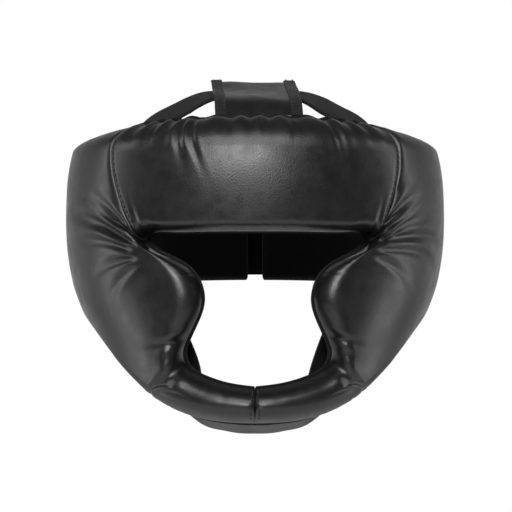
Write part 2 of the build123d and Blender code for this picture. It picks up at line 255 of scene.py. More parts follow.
def creaseField(creases, u, r, reach, side):
    # each crease is a valley with raised shoulders that runs in from an edge and fades out:
    # depth * (1 - q^2) * exp(-q^2 / 2) across it, exp(-(run / length)^2) along it
    total = np.zeros_like(r)
    for at, edge, length, width, depth, skew in creases:
        run = (r if edge == "open" else 1 - r) * reach
        q = ((u - at) * side - skew * run) / width
        fade = np.exp(-(run / length) ** 2) * np.clip(run / 2.0, 0.25, 1)
        total -= depth * (1 - q ** 2) * np.exp(-q ** 2 / 2) * fade
    return total


def foldField(folds, theta, z):
    # deep folds drawn on the unrolled outer face, in mm round the head and up: a valley with
    # raised shoulders, depth * (1 - q^2) * exp(-q^2 / 2), that widens and fades towards its end
    total = np.zeros_like(z)
    for startS, startZ, endS, endZ, width, depth in folds:
        run = np.array([endS - startS, endZ - startZ])
        length = np.linalg.norm(run)
        way = run / length
        s, up = theta * form["foldRadius"] - startS, z - startZ
        along = (s * way[0] + up * way[1]) / length
        bend = 0.06 * length * np.sin(np.pi * np.clip(along, 0, 1))
        q = (up * way[0] - s * way[1] - bend) / (width * (0.8 + 0.8 * np.clip(along, 0, 1)))
        fade = np.clip((along + 0.08) / 0.12, 0, 1) * np.clip((1 - along) / 0.75, 0, 1)
        total -= depth * (1 - q ** 2) * np.exp(-q ** 2 / 2) * fade
    return total


def gathers(seed, spans, every, length, width, depth):
    # small creases at uneven steps along the edges
    rng = np.random.default_rng(seed)
    made = []
    for edge, start, end, perUnit in spans:
        count = int(abs(end - start) * perUnit / every)
        for k in range(count):
            at = start + (end - start) * (k + rng.uniform(0.15, 0.85)) / count
            made.append((at, edge, length * rng.uniform(0.5, 1.7), width * rng.uniform(0.7, 1.5),
                         depth * rng.uniform(0.25, 1.3), rng.uniform(-0.12, 0.12)))
    return made


def swell(point, seed, size):
    # slow uneven bulging: a sum of sine waves in space with seeded directions
    rng = np.random.default_rng(seed)
    total = np.zeros(point.shape[:-1])
    for _ in range(7):
        way = rng.normal(size=3)
        way *= 2 * np.pi / (size * rng.uniform(0.7, 1.6)) / np.linalg.norm(way)
        total += np.sin(point @ way + rng.uniform(0, 6.28))
    return total / 7


def panelGrid(panel, domain):
    # closed pad: section rows by columns, thinned towards each seam end to a rounded closing
    ends = panel["span"]
    u = np.linspace(ends[0], ends[1], panel["columns"])
    caps = np.array([0.0, 0.55, 0.85])
    u = np.concatenate([0 * caps + u[0], u, 0 * caps + u[-1]])
    squeeze = np.concatenate([caps, np.ones(panel["columns"]), caps[::-1]])
    alpha, atOpening, atRim, t, lean = sectionRows(panel)
    probe = np.linspace(0, 1, 25)
    theta, z = domain(u, np.repeat(probe[:, None], len(u), 1))
    path = headPoint(theta, z, 1.0)
    reach = np.linalg.norm(np.diff(path, axis=0), axis=-1).sum(0)
    room = np.minimum(1, 0.47 * reach / max(panel["openingRound"], panel["rimRound"]))
    sharp = np.interp(np.abs(u), panel["sharpAt"], panel["sharp"])
    r = alpha[:, None] + (atOpening[:, None] * sharp + atRim[:, None]) * room / reach
    theta, z = domain(u, r)
    face = headPoint(theta, z, 1.0)
    scale = np.linalg.norm(np.gradient(face, axis=1), axis=-1)
    side = scale[:, 3:-3].mean(1, keepdims=True) * (panel["columns"] - 1) / abs(ends[1] - ends[0])
    fromStart = np.cumsum(scale, axis=1) - scale[:, :1]
    fromEnd = fromStart[:, -1:] - fromStart
    thin = np.ones_like(r)
    for gap, round_, floor in ((fromStart, *panel["seams"][0]), (fromEnd, *panel["seams"][1])):
        near = np.clip(gap / round_, 0, 1)
        thin *= floor + (1 - floor) * np.sqrt(1 - (1 - near) ** 2)
    depth = np.repeat(t[:, None], len(u), 1)
    outside = np.clip((depth - 0.3) / 0.5, 0, 1)
    lift = creaseField(panel["creases"], u[None], r, reach[None], side) * outside
    lift += foldField(panel["folds"], theta, z) * outside
    lift += panel["swell"] * swell(face, panel["seed"], 60) * outside * np.clip(r * reach / 12, 0, 1)
    lift += panel["crown"] * outside * np.clip(4 * r * (1 - r), 0, 1)
    centre = panel["middle"]
    depth = centre + (depth - centre) * thin * squeeze + lift * squeeze / padAt(theta)
    tilt = lean[:, None] * np.interp(z, [-20, 8], [opening["jawLean"], opening["eyeLean"]])
    tilt = tilt * panel["leaning"]
    return headPoint(theta, z, depth, tilt)


def gridMesh(name, grid, closeRows=True, closeColumns=False, drop=None, uv=None):
    # quads between neighbouring grid points; closeRows joins the last row to the first
    rows, columns = grid.shape[:2]
    index = np.arange(rows * columns).reshape(rows, columns)
    a = index if closeRows else index[:-1]
    b = np.roll(index, -1, 0) if closeRows else index[1:]
    if closeColumns:
        quads = np.stack([a, np.roll(a, -1, 1), np.roll(b, -1, 1), b], -1).reshape(-1, 4)
    else:
        quads = np.stack([a[:, :-1], a[:, 1:], b[:, 1:], b[:, :-1]], -1).reshape(-1, 4)
    if drop is not None:
        quads = quads[~drop.reshape(-1)[quads].all(1)]
    mesh = bpy.data.meshes.new(name)
    mesh.from_pydata((grid.reshape(-1, 3) * mm).tolist(), [], quads.tolist())
    if uv is not None:
        layer = mesh.uv_layers.new(name="surface")
        layer.data.foreach_set("uv", uv.reshape(-1, 2)[quads.reshape(-1)].astype("f").ravel())
    return mesh


def makePiece(name, mesh, material, body, ears=False):
    # merged, closed and turned outward; only the ear openings stay open
    work = bmesh.new()
    work.from_mesh(mesh)
    bmesh.ops.remove_doubles(work, verts=work.verts, dist=2e-5)
    bmesh.ops.dissolve_degenerate(work, edges=work.edges, dist=1e-6)
    edges = [edge for edge in work.edges if edge.is_boundary]
    if ears:
        edges = [edge for edge in edges if abs(edge.verts[0].co.y - ear["y"] * mm) > 0.02]
    bmesh.ops.holes_fill(work, edges=edges, sides=0)
    bmesh.ops.recalc_face_normals(work, faces=work.faces)
    work.to_mesh(mesh)
    work.free()
    mesh.polygons.foreach_set("use_smooth", [True] * len(mesh.polygons))
    mesh.materials.append(material)
    piece = bpy.data.objects.new(name, mesh)
    bpy.context.scene.collection.objects.link(piece)
    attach(piece, body)
    return piece


def colour(code):
    # sRGB hex to linear
    c = np.array([int(code[i:i + 2], 16) for i in (1, 3, 5)]) / 255
    return (*np.where(c < 0.04045, c / 12.92, ((c + 0.055) / 1.055) ** 2.4), 1)


def addNode(tree, kind, links=None, values=None, **settings):
    node = tree.nodes.new(kind)
    for key, value in settings.items():
        setattr(node, key, value)
    for socket, value in (values or {}).items():
        node.inputs[socket].default_value = value
    for socket, source in (links or {}).items():
        tree.links.new(source, node.inputs[socket])
    return node


def newMaterial(name, base, rough, specular=0.5, where="Object"):
    material = bpy.data.materials.new(name)
    material.use_nodes = True
    tree = material.node_tree
    shader = tree.nodes["Principled BSDF"]
    shader.inputs["Base Color"].default_value = colour(base)
    shader.inputs["Roughness"].default_value = rough
    shader.inputs["Specular IOR Level"].default_value = specular
    place = addNode(tree, "ShaderNodeTexCoord").outputs[where]
    return material, tree, shader, place


# embossed pebbles 0.9 mm apart, coarse for this leather so that they show, and soft folds
# 9 mm apart; all sizes in mm
leatherLook = {
    "dark": "#0a0a0b", "light": "#121213", "pebble": 0.9, "fold": 9, "patch": 38,
    "glossy": 0.3, "dull": 0.42, "pebbleDepth": 0.11, "foldDepth": 0.16,
}


def coatedLeather(name, grain):
    # polyurethane coated split leather: a soft sheen that breaks up over the embossed grain
    look = leatherLook
    material, tree, shader, place = newMaterial(name, look["dark"], 0.34)
    at = {"Vector": place}
    pebbles = addNode(tree, "ShaderNodeTexVoronoi", at, {"Scale": 1 / (look["pebble"] * mm)})
    folds = addNode(tree, "ShaderNodeTexNoise", at,
                    {"Scale": 1 / (look["fold"] * mm), "Detail": 6, "Roughness": 0.55})
    patch = addNode(tree, "ShaderNodeTexNoise", at,
                    {"Scale": 1 / (look["patch"] * mm), "Detail": 3})
    tint = addNode(tree, "ShaderNodeMix", {0: patch.outputs["Fac"]},
                   {6: colour(look["dark"]), 7: colour(look["light"])}, data_type="RGBA")
    tree.links.new(tint.outputs[2], shader.inputs["Base Color"])
    gloss = addNode(tree, "ShaderNodeMapRange", {"Value": folds.outputs["Fac"]},
                    {"From Min": 0.3, "From Max": 0.7, "To Min": look["glossy"],
                     "To Max": look["dull"]})
    tree.links.new(gloss.outputs["Result"], shader.inputs["Roughness"])
    fine = addNode(tree, "ShaderNodeBump", {"Height": pebbles.outputs["Distance"]},
                   {"Strength": 0.4, "Distance": look["pebbleDepth"] * grain * mm}, invert=True)
    soft = addNode(tree, "ShaderNodeBump",
                   {"Height": folds.outputs["Fac"], "Normal": fine.outputs["Normal"]},
                   {"Strength": 0.4, "Distance": look["foldDepth"] * grain * mm})
    tree.links.new(soft.outputs["Normal"], shader.inputs["Normal"])
    return material


def knitCloth(name, base, spacing, rough, depth, sheen=0.15):
    # knitted or brushed cloth: soft loops a fixed distance apart, matte with a faint sheen
    material, tree, shader, place = newMaterial(name, base, rough, sheen * 1.5)
    loops = addNode(tree, "ShaderNodeTexVoronoi", {"Vector": place},
                    {"Scale": 1 / (spacing * mm), "Randomness": 0.4})
    fuzz = addNode(tree, "ShaderNodeTexNoise", {"Vector": place},
                   {"Scale": 1 / (9 * mm), "Detail": 5})
    tint = addNode(tree, "ShaderNodeMapRange", {"Value": fuzz.outputs["Fac"]},
                   {"From Min": 0.3, "From Max": 0.7, "To Min": rough - 0.08, "To Max": rough})
    tree.links.new(tint.outputs["Result"], shader.inputs["Roughness"])
    bump = addNode(tree, "ShaderNodeBump", {"Height": loops.outputs["Distance"]},
                   {"Strength": 0.7, "Distance": depth * mm}, invert=True)
    tree.links.new(bump.outputs["Normal"], shader.inputs["Normal"])
    shader.inputs["Sheen Weight"].default_value = sheen
    return material


waveBand = 3.2  # a Wave texture's band repeats every 0.314 / scale, so 1 / (3.2 * spacing)


def wovenTape(name, base, rib, pick, rough, depth):
    # woven nylon: ribs along the tape and picks across it, both in mm on the piece's own UV
    material, tree, shader, place = newMaterial(name, base, rough, 0.22, "UV")
    along = addNode(tree, "ShaderNodeTexWave", {"Vector": place},
                    {"Scale": 1 / (pick * waveBand), "Distortion": 0.6, "Detail": 1},
                    bands_direction="X")
    across = addNode(tree, "ShaderNodeTexWave", {"Vector": place},
                     {"Scale": 1 / (rib * waveBand), "Distortion": 0.4, "Detail": 1},
                     bands_direction="Y")
    weave = addNode(tree, "ShaderNodeMath", {0: along.outputs["Fac"], 1: across.outputs["Fac"]},
                    operation="MULTIPLY")
    bump = addNode(tree, "ShaderNodeBump", {"Height": weave.outputs["Value"]},
                   {"Strength": 0.8, "Distance": depth * mm})
    tree.links.new(bump.outputs["Normal"], shader.inputs["Normal"])
    shader.inputs["Sheen Weight"].default_value = 0.05
    return material


leather = coatedLeather("blackCoatedLeather", 1.0)
# black polyester lining, its colour pushed to near black as painted shade for the inside of the head
# cavity
lining = knitCloth("blackLiningWithPaintedShade", "#050505", 0.9, 0.95, 0.2, 0.03)
foamStuff = knitCloth("greyEvaFoam", "#3a3b3d", 1.5, 0.9, 0.2)
loopTape = knitCloth("blackLoopTape", "#0d0d0e", 1.3, 0.98, 0.6)
hookTape = knitCloth("blackHookTape", "#0a0a0b", 1.1, 0.7, 0.6)
webbing = wovenTape("blackNylonWebbing", "#070708", 2.2, 1.4, 0.75, 0.35)
smoothLeather = coatedLeather("blackSmoothLeather", 0.4)
tape = wovenTape("blackBindingTape", "#0e0e10", 1.1, 0.9, 0.62, 0.2)
thread = wovenTape("blackPolyesterThread", "#1a1a1c", 0.4, 0.4, 0.5, 0.05)
print("materials made")

panelBase = {
    "roundRows": 17, "faceRows": 60, "backRows": 10, "edgeIn": 0.02, "shrink": 0,
    "shrinkReach": 30,
    "middle": 0.42, "innerRound": 5, "leaning": 1.0, "swell": 0.5, "crown": 1.2,
    "liningStart": 3, "sharpAt": (0.75, 1.0, 1.4), "sharp": (0.5, 0.72, 1.0), "folds": [],
}
foreheadPanel = dict(
    panelBase, span=(-1, 1), columns=240, openingRound=14, rimRound=19, seed=3,
    seams=((6, 0.9), (6, 0.9)), swell=0.9,
    creases=[
        (-0.50, "rim", 17, 2.8, 2.2, 0.10), (-0.43, "rim", 20, 2.4, 1.5, 0.25),
        (0.52, "rim", 17, 3.0, 1.9, 0.15), (0.60, "rim", 10, 2.2, 0.8, -0.1),
        (0.05, "rim", 7, 1.9, 1.5, 0.0), (-0.17, "rim", 7, 2.0, 0.9, 0.1),
        (0.24, "rim", 8, 2.0, 1.1, 0.0), (-0.68, "rim", 8, 2.0, 1.0, 0.0),
        (-0.95, "open", 13, 1.8, 1.0, 0.2), (0.95, "open", 13, 1.8, 1.0, -0.2),
    ] + gathers(11, [("rim", -1, 1, 90)], 12, 4.5, 2.0, 0.8)
    + gathers(12, [("open", -1, 1, 72)], 8, 3.5, 1.6, 0.45),
)
sidePanel = dict(
    panelBase, span=(1, 5), columns=420, openingRound=16, rimRound=16, seed=5,
    seams=((6, 0.9), (7, 0.88)), creases=[], swell=0.8,
)
sideEdges = [("rim", 1, 2, 120), ("rim", 2, 3, 95), ("rim", 3, 5, 110)]
openEdges = [("open", 1.3, 3.4, 40), ("open", 4.3, 5, 52)]
sideCreases = {
    "left": [(1.06, "open", 40, 2.2, 1.5, 0.5), (3.74, "open", 20, 2.6, 1.2, 0.05),
             (4.06, "open", 32, 3.0, 1.8, 0.25)]
    + gathers(21, sideEdges, 13, 6, 2.0, 0.6) + gathers(23, openEdges, 8, 5, 1.7, 0.5),
    "right": [(1.06, "open", 40, 2.2, 1.5, 0.5), (3.80, "open", 24, 2.8, 1.5, 0.0),
              (4.10, "open", 38, 3.0, 2.0, 0.2)]
    + gathers(22, sideEdges, 13, 6, 2.0, 0.6) + gathers(24, openEdges, 8, 5, 1.7, 0.5),
}
# folds that run out from the eye corner: start and end as mm round the head and up, then
# width and depth
eyeFolds = {
    "left": [(80, 9, 162, 6, 3.0, 2.6), (82, 4, 150, -8, 2.6, 1.6), (80, 14, 128, 44, 3.0, 2.0),
             (84, 11, 130, 24, 2.4, 1.6), (80, -1, 118, -22, 2.4, 1.1), (78, 18, 108, 52, 2.2, 0.9)],
    "right": [(80, 8, 150, 26, 3.0, 2.8), (82, 4, 132, 8, 2.6, 2.2), (80, -2, 122, -14, 2.6, 1.8),
              (80, 13, 120, 40, 2.6, 1.6), (78, -6, 108, -30, 2.2, 1.0), (84, 10, 118, 20, 2.0, 1.4)],
}
rearPanel = dict(
    panelBase, span=(0, 1), columns=150, openingRound=9, rimRound=9, seed=9, leaning=0.0,
    seams=((7, 0.8), (11, 0.45)), innerRound=4, sharp=(1, 1, 1), swell=0.25, crown=-0.3,
)
rearEdges = [("rim", 0, 1, 105), ("open", 0, 1, 105)]
rearCreases = {"left": gathers(31, rearEdges, 10, 8, 2.1, 0.6),
               "right": gathers(32, rearEdges, 10, 8, 2.1, 0.6)}
# ear openings, and the rolled tape round each
ear = {
    "y": 20, "z": 3, "wide": 22, "tall": 34, "round": 9, "sink": 7, "wall": 1.6, "roll": 2.1,
    "proud": 0.8, "tuck": 1.4, "bore": -0.6,
}


def sinkEar(grid, extra):
    # the cover dips into the ear opening along a quarter circle; points inside the oval are
    # pulled out to its edge, so the cut is clean
    across, up = grid[..., 1] - ear["y"], grid[..., 2] - ear["z"]
    away = np.hypot(across / (ear["wide"] / 2 + extra), up / (ear["tall"] / 2 + extra))
    mean = (ear["wide"] + ear["tall"]) / 4
    reach = (away - 1) * mean
    inside = reach < 0
    near = np.clip(reach / ear["round"], 0, 1)
    pull = (1 - np.sqrt(1 - (1 - near) ** 2)) * ear["sink"]
    out = grid.copy()
    out[..., 0] -= pull * (grid[..., 0] > 100)
    snap = np.where(inside, 1 / np.maximum(away, 0.05), 1)
    out[..., 1] = ear["y"] + across * snap
    out[..., 2] = ear["z"] + up * snap
    return out, inside


def shellNormals(grid):
    # unit normals of a closed-section grid: cross product of its two tangents
    rows = np.roll(grid, -1, 0) - np.roll(grid, 1, 0)
    columns = np.gradient(grid, axis=1)
    normal = np.cross(rows, columns)
    length = np.linalg.norm(normal, axis=-1, keepdims=True)
    return normal / np.maximum(length, 1e-6)


def liningGrid(grid, panel):
    # thin closed shell over the inner part of a pad: the pad's own rows, 0.9 mm out and 1 mm in,
    # with both long edges tucked under the cover
    rounds, face, back = panel["roundRows"], panel["faceRows"], panel["backRows"]
    first = 2 * rounds + face - rounds // 2 - panel["liningStart"]
    rows = np.concatenate([np.arange(first, 2 * rounds + face + back),
                           np.arange(rounds // 2 + panel["liningStart"])])
    normal = shellNormals(grid)[rows]
    skin = grid[rows]
    centre = grid.mean(0, keepdims=True)
    facing = np.sign(((skin - centre) * normal).sum(-1).mean())
    edge = np.minimum(np.arange(len(rows)), np.arange(len(rows))[::-1]) / 2
    lift = np.clip(edge, 0, 1)[:, None, None] * 1.5 - 0.6
    columns = grid.shape[1]
    fade = np.minimum(np.arange(columns), np.arange(columns)[::-1]) > 3
    lift = np.where(fade[None, :, None], lift, -0.6)
    top = skin + facing * normal * lift
    low = skin - facing * normal * 1.0
    return np.concatenate([top, low[::-1]])[:, 3:-3]


def sidedGrid(panel, domain, sign, extra=0.0):
    # the pad's grid with its ear opening, if it has one, on the left (sign 1) or the right
    grid, hole = panelGrid(panel, domain), None
    if panel.get("ears"):
        grid, hole = sinkEar(grid, extra)
    return grid * [sign, 1, 1], hole


def padPiece(name, panel, domain, sign, body, *nodes):
    grid, hole = sidedGrid(panel, domain, sign)
    cover = makePiece(name + "Cover", gridMesh(name + "Cover", grid, drop=hole), leather, body,
                      ears=hole is not None)
    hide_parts(nodes[0])
    skin = liningGrid(grid, panel)
    cut = None
    if hole is not None:
        cut = np.hypot((skin[..., 1] - ear["y"]) / (ear["wide"] / 2),
                       (skin[..., 2] - ear["z"]) / (ear["tall"] / 2)) < 1.02
    inner = makePiece(name + "Lining", gridMesh(name + "Lining", skin, drop=cut), lining, body,
                      ears=hole is not None)
    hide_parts(nodes[1])
    return grid


def foamPiece(name, panel, domain, sign, span, body, node):
    block = dict(panel, span=span, columns=70, faceRows=24, roundRows=9, shrink=0.05,
                 creases=[], folds=[], swell=0, crown=0, seams=((3, 0.9), (3, 0.9)))
    grid, hole = sidedGrid(block, domain, sign, extra=1.5)
    mesh = gridMesh(name, grid, drop=hole)
    foam = makePiece(name, mesh, foamStuff, body, ears=hole is not None)
    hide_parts(node)


padGrids = {}
padGrids["forehead"] = padPiece("forehead", foreheadPanel, ringDomain, 1, "shell",
                                "forehead_cover", "forehead_lining")
foamPiece("foreheadFoam", foreheadPanel, ringDomain, 1, (-0.97, 0.97), "shell",
          "forehead_foam")
for name, sign, ring in (("left", 1, ringDomain), ("right", -1, rightDomain)):
    sideNow = dict(sidePanel, creases=sideCreases[name], folds=eyeFolds[name], ears=True)
    padGrids[name] = padPiece(name + "Side", sideNow, ring, sign, "shell",
                              name + "_side_cover", name + "_side_lining")
    for part, span in (("temple", (1.03, 2.6)), ("cheek", (2.62, 4.1)), ("chin", (4.12, 4.97))):
        foamPiece(name + part.title() + "Foam", sideNow, ring, sign, span, "shell",
                  name + "_" + part + "_foam")
    wingNow = dict(rearPanel, creases=rearCreases[name], seed=9 + sign)
    padPiece(name + "Rear", wingNow, wingDomain, sign, "rear_wing_" + name,
             name + "_rear_cover", name + "_rear_lining")
    foamPiece(name + "RearFoam", wingNow, wingDomain, sign, (0.03, 0.95), "rear_wing_" + name,
              name + "_rear_foam")
print("padded panels made")


def unit(v):
    return v / np.maximum(np.linalg.norm(v, axis=-1, keepdims=True), 1e-9)


def bandSection(width, wall, count=40):
    # rounded bar: |a|^7 + |b|^3 = 1 in parts of half the width and half the thickness
    turn = np.linspace(0, 2 * np.pi, count, endpoint=False)
    a = np.sign(np.cos(turn)) * np.abs(np.cos(turn)) ** (2 / 7) * width / 2
    b = np.sign(np.sin(turn)) * np.abs(np.sin(turn)) ** (2 / 3) * wall / 2
    return a, b


def bandGrid(path, across, width, wall, bow=0.0, count=40, lift=None):
    # the section carried along a path: across gives the band's width direction at each point,
    # and the normal is across x tangent; bow arches it, lift(along, a) adds ripples
    way = unit(np.gradient(path, axis=0))
    across = unit(across - (across * way).sum(-1, keepdims=True) * way)
    normal = np.cross(across, way)
    a, b = bandSection(width, wall, count)
    along = runLength(path)
    ends = np.array(capSqueeze)
    squeeze = np.concatenate([ends, np.ones(len(path)), ends[::-1]])[:, None, None]
    index = np.concatenate([[0] * 3, np.arange(len(path)), [len(path) - 1] * 3])
    rise = b[None] - bow * (2 * a[None] / width) ** 2 + 0 * along[:, None]
    if lift is not None:
        rise = rise + lift(along[:, None], a[None])
    narrow = 1 - 0.03 * (1 - squeeze)
    grid = (path[index][:, None]
            + across[index][:, None] * a[None, :, None] * squeeze * narrow
            + normal[index][:, None] * rise[index][..., None] * squeeze)
    uv = np.stack([along[index][:, None] + 0 * a[None], 0 * along[index][:, None] + a[None]], -1)
    return grid, uv, normal


def bandPiece(name, path, across, width, wall, material, body, slot, nodes, **more):
    grid, uv, _ = bandGrid(path, across, width, wall, **more)
    mesh = gridMesh(name, grid, closeRows=False, closeColumns=True, uv=uv)
    piece = makePiece(name, mesh, material, body)
    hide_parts(*nodes)
    return piece


def stitches(name, path, out, body, every=3.2, long=2.3, thick=0.75):
    # one small six-sided dash per stitch, laid along a path and sunk by a third
    length = runLength(path)
    count = int(length[-1] / every)
    middle = (np.arange(count) + 0.5) * length[-1] / count
    spot = np.stack([np.interp(middle, length, path[:, k]) for k in range(3)], 1)
    way = unit(np.stack([np.interp(middle, length, np.gradient(path[:, k])) for k in range(3)], 1))
    out = unit(np.stack([np.interp(middle, length, out[:, k]) for k in range(3)], 1))
    side = np.cross(way, out)
    corner = np.array([(x, y, z) for x in (-1, 1) for y in (-1, 1) for z in (-1, 1)], float)
    corner[:, 1:] *= np.where(corner[:, 2:] > 0, 0.6, 1.0)
    block = (spot[:, None] + way[:, None] * corner[None, :, :1] * long / 2
             + side[:, None] * corner[None, :, 1:2] * thick / 2
             + out[:, None] * (corner[None, :, 2:] + 0.3) * thick / 2)
    faces = np.array([(0, 1, 3, 2), (4, 6, 7, 5), (0, 4, 5, 1), (2, 3, 7, 6), (0, 2, 6, 4),
                      (1, 5, 7, 3)])
    quads = (faces[None] + 8 * np.arange(count)[:, None, None]).reshape(-1, 4)
    mesh = bpy.data.meshes.new(name)
    mesh.from_pydata((block.reshape(-1, 3) * mm).tolist(), [], quads.tolist())
    makePiece(name, mesh, thread, body)


# crown webbing from one inner wall over the head to the other; half of its route in X, Z
webbingShape = {
    "y": -12, "leanAt": (24, 44), "lean": (14, 26), "width": 25, "wall": 2.6,
    "half": [(0, 102.5), (14, 102.5), (25, 102.4), (33, 100.6), (44, 95.4), (56, 89.2),
             (66, 83), (71.5, 76.5), (74, 68), (74.4, 58)],
}


def crownWebbing():
    # a band along a mirrored route, its width leaning from Y towards the route's normal
    look = webbingShape
    half = np.array(look["half"], float)
    whole = np.concatenate([half[:0:-1] * [-1, 1], half])
    flat = curveThrough(whole, 220)
    path = np.stack([flat[:, 0], np.full(len(flat), look["y"]), flat[:, 1]], 1)
    lean = np.radians(np.interp(np.abs(path[:, :1]), look["leanAt"], look["lean"]))
    way = unit(np.gradient(path, axis=0))
    raised = np.stack([-way[:, 2], 0 * way[:, 0], way[:, 0]], 1) * np.sin(lean)
    across = raised + np.cos(lean) * [[0, 1, 0]]
    bandPiece("crownWebbing", path, across, look["width"], look["wall"], webbing, "shell",
              "webbing", ["crown_webbing"],
              lift=lambda s, a: 0.12 * np.sin(s / 4.1 + a / 6))


# elastic binding gathered along the crown's inner edge
bindingShape = {"width": 11, "wall": 3, "depth": 0.3, "ripple": 13, "wave": 1.6,
                "below": 2.6, "step": 1.3}


def crinkledBinding(name, theta, z, body, nodes, seed):
    # a band along the rim, its path waved up and out by sines of uneven size and phase
    look = bindingShape
    rng = np.random.default_rng(seed)
    path = headPoint(theta, z - look["below"], look["depth"])
    along = runLength(path)
    even = np.linspace(0, along[-1], int(along[-1] / look["step"]))
    path = np.stack([np.interp(even, along, path[:, k]) for k in range(3)], 1)
    shift = rng.uniform(0, 6.28, 4)
    phase = 2 * np.pi * even / look["ripple"] + 1.4 * np.sin(even / 23 + shift[0])
    size = look["wave"] * (0.55 + 0.45 * np.sin(even / 17 + shift[1]) * np.sin(even / 41))
    path[:, 2] += size * 0.55 * np.sin(phase + shift[2])
    outward = unit(path * [1, 1, 0])
    path += outward * (size * 0.5 * np.sin(phase * 0.5 + shift[3]))[:, None]
    across = np.repeat([[0, 0, 1.0]], len(path), 0)
    bandPiece(name, path, across, look["width"], look["wall"], tape, body, "binding", nodes,
              count=28, lift=lambda s, a: 0.5 * np.sin(s / 1.3 + 2 * np.sin(s / 9) + a / 3))


def allBindings():
    u = np.linspace(0, 1.96, 200)
    _, outer = ringEdges(u)
    theta = np.concatenate([-outer[:0:-1, 0], outer[:, 0]])
    z = np.concatenate([outer[:0:-1, 1], outer[:, 1]])
    crinkledBinding("crownBinding", theta, z, "shell", ["crown_binding"], 41)
    for name, sign in (("left", 1), ("right", -1)):
        theta, z = wingDomain(np.linspace(0.03, 0.95, 90), np.ones(90))
        crinkledBinding(name + "RearBinding", sign * theta, z, "rear_wing_" + name,
                        [name + "_rear_binding"], 42 + sign)


# crown flap: its route back from the forehead in Y, Z, and how far each end sits off centre
flapShape = {
    "route": [(-79.15, 84.3), (-70, 92.2), (-55, 98.2), (-40, 101.4), (-26, 104.1),
              (-12, 107.6), (0, 110.6), (8.2, 110.9)],
    "width": 53, "wall": 2.2, "skewFront": 2.6, "skewBack": -1.8, "hem": 7, "hemWall": 1.4,
}


def crownFlap():
    # a band from the forehead back onto the webbing, with a hem along each side
    look = flapShape
    route = curveThrough(look["route"], 130)
    skew = np.linspace(look["skewFront"], look["skewBack"], len(route))
    path = np.stack([skew, route[:, 0], route[:, 1]], 1)
    across = np.repeat([[1.0, 0, 0]], len(path), 0)

    def ripple(s, a):
        wave = 0.35 * np.sin(s / 9 + a / 14) + 0.25 * np.sin(a / 5 + s / 21)
        return wave * np.clip(s / 12, 0, 1)

    bandPiece("crownFlap", path, across, look["width"], look["wall"], smoothLeather,
              "crown_flap_body", "leather", ["crown_flap"], count=96, lift=ripple)
    _, _, normal = bandGrid(path, across, look["width"], look["wall"], count=96)
    rise = look["wall"] / 2 + look["hemWall"] / 2
    for name, sign in (("left", 1), ("right", -1)):
        inset = look["width"] / 2 - look["hem"] / 2 + 0.4
        edge = path + across * sign * inset + normal * rise
        bandPiece(name + "FlapHem", edge, across, look["hem"], look["hemWall"], tape,
                  "crown_flap_body", "binding", [name + "_flap_hem"], count=32,
                  lift=lambda s, a: ripple(s, a + sign * inset))
        for row, gap in (("Outer", 1.6), ("Inner", look["hem"] - 1.2)):
            line = path + across * sign * (look["width"] / 2 + 0.4 - gap)
            line = line + normal * (rise + look["hemWall"] / 2 + 0.1)
            stitches(name + "FlapStitches" + row, line[6:-8], normal[6:-8], "crown_flap_body")


def rearPoint(x, z, lift):
    # on the rear of the head form, at x and height z, lifted off the padding
    half, _, back = formAt(z)
    ratio = np.clip(x / (half + lift), -0.999, 0.999)
    return np.stack([x, (back + lift) * np.sqrt(1 - ratio ** 2), z], -1)


def rearSheet(name, xSpan, zSpan, lifts, material, body, nodes, tip=0.0, paintedShadeBacking=None):
    # closed sheet over the wings: across its height the section is a rounded bar between two
    # lifts; the end at the tip is rounded by drawing its corners in along a quarter circle
    count = int(abs(xSpan[1] - xSpan[0]) / 1.2) + 12
    x = np.linspace(xSpan[0], xSpan[1], count)
    half = (zSpan[1] - zSpan[0]) / 2
    a, b = bandSection(2 * half, lifts[1] - lifts[0], 110)
    caps = np.array(capSqueeze)
    index = np.concatenate([[0] * 3, np.arange(count), [count - 1] * 3])
    squeeze = np.concatenate([caps, np.ones(count), caps[::-1]])[:, None]
    near = np.clip(np.minimum(x - x[0], x[-1] - x) / max(tip, 1e-3), 0, 1)
    draw = half - tip + tip * np.sqrt(1 - (1 - near) ** 2) if tip else half + 0 * x
    z = (zSpan[0] + zSpan[1]) / 2 + a[None] * (draw[index] / half)[:, None]
    lift = (lifts[0] + lifts[1]) / 2 + b[None] * squeeze
    grid = rearPoint(x[index][:, None] + 0 * z, z, lift)
    uv = np.stack([x[index][:, None] + 0 * z, z], -1)
    mesh = gridMesh(name, grid, closeRows=False, closeColumns=True, uv=uv)
    piece = makePiece(name, mesh, material, body)
    # faces turned in towards the head take the darker lining material: painted shade on the leather
    # strap's inner face, where light through the face opening would otherwise show
    if paintedShadeBacking:
        mesh.materials.append(paintedShadeBacking)
        facing = np.zeros(len(mesh.polygons) * 3, "f")
        centre = np.zeros_like(facing)
        mesh.polygons.foreach_get("normal", facing)
        mesh.polygons.foreach_get("center", centre)
        inward = (facing.reshape(-1, 3) * centre.reshape(-1, 3) * [1, 1, 0]).sum(1) < 0
        mesh.polygons.foreach_set("material_index", inward.astype("i"))
    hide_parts(*nodes)


